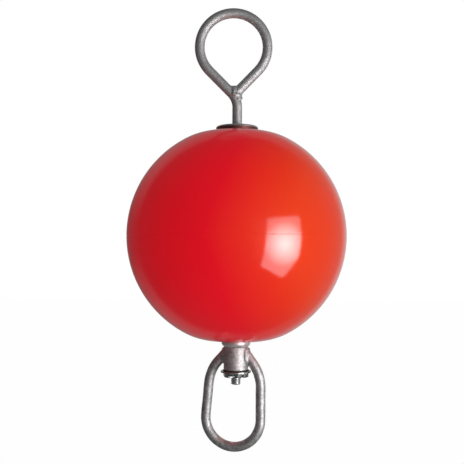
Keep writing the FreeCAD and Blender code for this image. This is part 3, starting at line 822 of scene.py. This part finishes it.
def makePin():
    d = splitPin
    half = d["wire"] + d["slit"]
    eyeLevel = d["eyeRadius"] + d["wire"] - d["eyeReach"]
    rise = math.sqrt((d["eyeRadius"] + d["bend"]) ** 2 - (half + d["bend"]) ** 2)
    turn = math.degrees(math.atan2(rise, half + d["bend"]))
    tailCentre = (half + d["bend"], d["tailReach"])
    opened = 180 - d["tailAngle"]
    tailStart = arcPoints(tailCentre, d["bend"], opened, 0, 1)[0]
    outward = math.radians(90 - d["tailAngle"])
    tailEnd = (tailStart[0] + d["tailLength"] * math.cos(outward),
               tailStart[1] + d["tailLength"] * math.sin(outward))
    line = joinPoints(
        arcPoints((0, eyeLevel), d["eyeRadius"], -90, turn, 24),
        arcPoints((half + d["bend"], eyeLevel + rise), d["bend"], 180 + turn, 180, 10),
        straightPoints((half, eyeLevel + rise), (half, d["tailReach"]), 2.0),
        arcPoints(tailCentre, d["bend"], 180, opened, 10),
        straightPoints(tailStart, tailEnd, 1.0))
    whole = [(-x, y) for x, y in reversed(line)] + line[1:]
    spin = Matrix.Rotation(math.radians(d["turn"]), 4, "Z")

    def place(point):
        return spin @ Vector((point[0], point[1], 0)) + up * d["level"]

    verts, faces = sweepMesh(whole, place, up, d["wire"], 20, endRound=0.4)
    return makePiece("splitPin", verts, faces, zinc["brightPinWire"], "buoy",
                     ["split_pin"])


makeNut()
makePin()
print("nut and pin made")


studio = {
    "floorLevel": -2.5,        # far below, so that it hides nothing from under the buoy
    "floorReach": 40.0,
    "floorGrey": 0.92,
    "floorShadow": 0.02,       # share of the floor's own shading that shows
    "ambient": 0.635,          # light from all round on plain surfaces
    "left": 0.06,              # the room as shiny surfaces show it
    "right": 0.30,
    "above": 0.08,
    "below": 0.10,
    "sideways": (-0.6, 0.7),   # X of the directions where left has turned into right
    "wallTop": (0.45, 0.85),   # height of those where the walls turn into above and below
    "backdropLow": 0.09,       # the pale backdrop behind, level with the float
    "backdropHigh": 0.27,      # above and below it
    "backdropRight": 1.00,     # its lit right side, fading towards the edge
    "backdropEdge": 0.46,      # Y of the directions where it begins
    "backdropSoft": 0.10,
    "backdropLitEdge": 0.58,   # the same for its lit right side
    "backdropRise": (0.12, 0.50),    # height of those where low turns into high
    "panelLight": 4.0,         # the softbox on the metal parts
    "panelDim": 5.8,           # the same softbox in the float's gloss
    "panelMid": 7.2,
    "panelHot": 37.0,
    "panelColour": (0.6, 0.97, 1.0),    # cool light, so that the highlight isn't pink
    "frontPower": 48.0,        # wide soft light that only plain surfaces show
    "frontSize": 2.0,
    "frontPlace": (1.75, -2.4, -0.15),
}


def makeFloor():
    d = studio
    reach = d["floorReach"]
    mesh = bpy.data.meshes.new("studioFloor")
    corners = [(-reach, -reach), (reach, -reach), (reach, reach), (-reach, reach)]
    mesh.from_pydata([(x, y, d["floorLevel"]) for x, y in corners], [], [(0, 1, 2, 3)])
    floor = bpy.data.objects.new("studioFloor", mesh)
    bpy.context.scene.collection.objects.link(floor)
    floor.visible_glossy = False
    material = bpy.data.materials.new("paleFloor")
    material.use_nodes = True
    tree = material.node_tree
    tree.nodes.clear()
    output = addNode(tree, "ShaderNodeOutputMaterial")
    diffuse = addNode(tree, "ShaderNodeBsdfDiffuse")
    diffuse.inputs["Color"].default_value = (d["floorGrey"],) * 3 + (1,)
    white = addNode(tree, "ShaderNodeEmission")
    rays = addNode(tree, "ShaderNodeLightPath")
    share = addNode(tree, "ShaderNodeMath", operation="MULTIPLY")
    share.inputs[1].default_value = 1 - d["floorShadow"]
    tree.links.new(rays.outputs["Is Camera Ray"], share.inputs[0])
    plain = addNode(tree, "ShaderNodeMixShader")
    tree.links.new(share.outputs[0], plain.inputs["Fac"])
    tree.links.new(diffuse.outputs[0], plain.inputs[1])
    tree.links.new(white.outputs[0], plain.inputs[2])
    tree.links.new(plain.outputs[0], output.inputs["Surface"])
    mesh.materials.append(material)


# 1 for a ray leaving a shiny or clear surface
def shinyRay(tree, rays):
    either = addNode(tree, "ShaderNodeMath", operation="MAXIMUM")
    tree.links.new(rays.outputs["Is Glossy Ray"], either.inputs[0])
    tree.links.new(rays.outputs["Is Transmission Ray"], either.inputs[1])
    return either.outputs[0]


def makeWorld():
    d = studio
    world = bpy.data.worlds.new("studioWorld")
    bpy.context.scene.world = world
    world.use_nodes = True
    tree = world.node_tree
    tree.nodes.clear()
    output = addNode(tree, "ShaderNodeOutputWorld")
    rays = addNode(tree, "ShaderNodeLightPath")
    place = addNode(tree, "ShaderNodeTexCoord")
    split = addNode(tree, "ShaderNodeSeparateXYZ")
    tree.links.new(place.outputs["Generated"], split.inputs[0])
    rightward = rangeNode(tree, split.outputs["X"], *d["sideways"], 0.0, 1.0)
    edge = d["backdropEdge"]
    within = rangeNode(tree, split.outputs["Y"], edge, edge + d["backdropSoft"], 0.0, 1.0)
    behind = rangeNode(tree, split.outputs["Y"], d["backdropLitEdge"], 1.0, 0.0, 1.0)
    height = addNode(tree, "ShaderNodeMath", operation="ABSOLUTE")
    tree.links.new(split.outputs["Z"], height.inputs[0])
    steep = rangeNode(tree, height.outputs[0], *d["wallTop"], 0.0, 1.0)
    rising = rangeNode(tree, height.outputs[0], *d["backdropRise"], d["backdropLow"],
                       d["backdropHigh"])
    even = addNode(tree, "ShaderNodeMath", operation="MULTIPLY")
    tree.links.new(within.outputs["Result"], even.inputs[0])
    tree.links.new(rising.outputs["Result"], even.inputs[1])
    upward = rangeNode(tree, split.outputs["Z"], -0.1, 0.1, 0.0, 1.0)
    level = mixLevels(tree, rightward.outputs["Result"], d["left"], d["right"])
    pole = mixLevels(tree, upward.outputs["Result"], d["below"], d["above"])
    room = mixLevels(tree, steep.outputs["Result"], level, pole)
    lit = addNode(tree, "ShaderNodeMath", operation="MULTIPLY")
    tree.links.new(behind.outputs["Result"], lit.inputs[0])
    tree.links.new(mixLevels(tree, rightward.outputs["Result"], 0.0, d["backdropRight"]),
                   lit.inputs[1])
    backdrop = addNode(tree, "ShaderNodeMath", operation="MAXIMUM")
    tree.links.new(lit.outputs[0], backdrop.inputs[0])
    tree.links.new(even.outputs[0], backdrop.inputs[1])
    shiny = addNode(tree, "ShaderNodeMath", operation="MAXIMUM")
    tree.links.new(room, shiny.inputs[0])
    tree.links.new(backdrop.outputs[0], shiny.inputs[1])
    light = mixLevels(tree, shinyRay(tree, rays), d["ambient"], shiny.outputs[0])
    shown = mixLevels(tree, rays.outputs["Is Camera Ray"], light, 1.0)
    background = addNode(tree, "ShaderNodeBackground")
    background.inputs["Color"].default_value = (1, 1, 1, 1)
    tree.links.new(shown, background.inputs["Strength"])
    tree.links.new(background.outputs[0], output.inputs["Surface"])


# the softbox to the right of the camera: an outline in its own plane, in metres
softbox = {
    "middle": (0.768, -0.887, -0.166),
    "facing": (0.698, -0.700, -0.148),
    "outline": [(-0.27, 0.50), (0.46, 0.52), (0.43, -0.18), (0.22, -0.61), (-0.33, -0.47)],
}

# the same light in the float's gloss: a small copy close to the float keeps its reflection
# off the float's edge in views from other sides
glossScale = (0.199, 0.209)    # across and up
glossSoftbox = {
    "middle": (0.1587, -0.2793, -0.0366),
    "facing": softbox["facing"],
    "outline": [(x * glossScale[0], y * glossScale[1]) for x, y in softbox["outline"]],
    "hotSpot": (0.0193, 0.0036),
    "hotRadius": 0.088,
    "seamHeight": 0.0406,      # above this the box is dimmer
    "seamWidth": 0.03,
}


def softboxPanel(name, d, strength, receivers, state):
    facing = Vector(d["facing"]).normalized()
    across = up.cross(facing).normalized()
    rise = facing.cross(across)
    mesh = bpy.data.meshes.new(name)
    mesh.from_pydata([(x, y, 0) for x, y in d["outline"]], [], [tuple(range(len(d["outline"])))])
    panel = bpy.data.objects.new(name, mesh)
    bpy.context.scene.collection.objects.link(panel)
    panel.visible_camera = False
    panel.visible_shadow = False
    turn = Matrix((across, rise, facing)).transposed().to_4x4()
    panel.matrix_world = Matrix.Translation(d["middle"]) @ turn
    lit = bpy.data.collections.new(name + "Lit")
    for piece in receivers:
        lit.objects.link(piece)
    panel.light_linking.receiver_collection = lit
    for entry in lit.collection_objects:
        entry.light_linking.link_state = state
    material = bpy.data.materials.new(name + "Light")
    material.use_nodes = True
    tree = material.node_tree
    tree.nodes.clear()
    output = addNode(tree, "ShaderNodeOutputMaterial")
    glow = addNode(tree, "ShaderNodeEmission")
    if isinstance(strength, float):
        glow.inputs["Strength"].default_value = strength
    else:
        tree.links.new(strength(tree), glow.inputs["Strength"])
        glow.inputs["Color"].default_value = (*studio["panelColour"], 1)
    clear = addNode(tree, "ShaderNodeBsdfTransparent")
    both = addNode(tree, "ShaderNodeAddShader")
    tree.links.new(glow.outputs[0], both.inputs[0])
    tree.links.new(clear.outputs[0], both.inputs[1])
    tree.links.new(both.outputs[0], output.inputs["Surface"])
    mesh.materials.append(material)


# a hot spot, an even body and a dimmer top
def glossStrength(tree):
    d = glossSoftbox
    rays = addNode(tree, "ShaderNodeLightPath")
    place = addNode(tree, "ShaderNodeTexCoord")
    split = addNode(tree, "ShaderNodeSeparateXYZ")
    tree.links.new(place.outputs["Object"], split.inputs[0])
    away = addNode(tree, "ShaderNodeVectorMath", operation="DISTANCE")
    away.inputs[1].default_value = (*d["hotSpot"], 0)
    tree.links.new(place.outputs["Object"], away.inputs[0])
    spot = rangeNode(tree, away.outputs["Value"], 0.0, d["hotRadius"], 1.0, 0.0)
    half = d["seamWidth"] / 2
    upper = rangeNode(tree, split.outputs["Y"], d["seamHeight"] - half, d["seamHeight"] + half,
                      0.0, 1.0)
    even = mixLevels(tree, upper.outputs["Result"], studio["panelMid"], studio["panelDim"])
    level = mixLevels(tree, spot.outputs["Result"], even, studio["panelHot"])
    return mixLevels(tree, shinyRay(tree, rays), 0.0, level)


def makeSoftbox():
    ball = [bpy.data.objects["floatBall"]]
    softboxPanel("softbox", softbox, studio["panelLight"], ball, "EXCLUDE")
    softboxPanel("glossSoftbox", glossSoftbox, glossStrength, ball, "INCLUDE")


def makeFrontLight():
    d = studio
    data = bpy.data.lights.new("frontLight", "AREA")
    data.energy = d["frontPower"]
    data.size = d["frontSize"]
    lamp = bpy.data.objects.new("frontLight", data)
    bpy.context.scene.collection.objects.link(lamp)
    lamp.location = d["frontPlace"]
    lamp.rotation_euler = Vector(d["frontPlace"]).to_track_quat("Z", "Y").to_euler()
    lamp.visible_camera = False
    lamp.visible_glossy = False
    lamp.visible_transmission = False


makeFloor()
makeWorld()
makeSoftbox()
makeFrontLight()
print("studio ready")


camera = {
    "place": (0.0, -1.4, -0.035),
    "lens": 59.24,
    "roll": 0.3,
    "shift": (-0.0096, 0.0502),
}


def makeCamera():
    d = camera
    data = bpy.data.cameras.new("studioCamera")
    data.lens = d["lens"]
    data.sensor_width = 36.0
    eye = bpy.data.objects.new("studioCamera", data)
    bpy.context.scene.collection.objects.link(eye)
    eye.location = d["place"]
    data.shift_x, data.shift_y = d["shift"]
    turn = Matrix.Rotation(math.radians(90), 4, "X")
    roll = Matrix.Rotation(math.radians(d["roll"]), 4, "Z")
    eye.rotation_euler = (turn @ roll).to_euler()
    bpy.context.scene.camera = eye


makeCamera()
bpy.context.scene.view_settings.view_transform = "Standard"
print("camera ready")
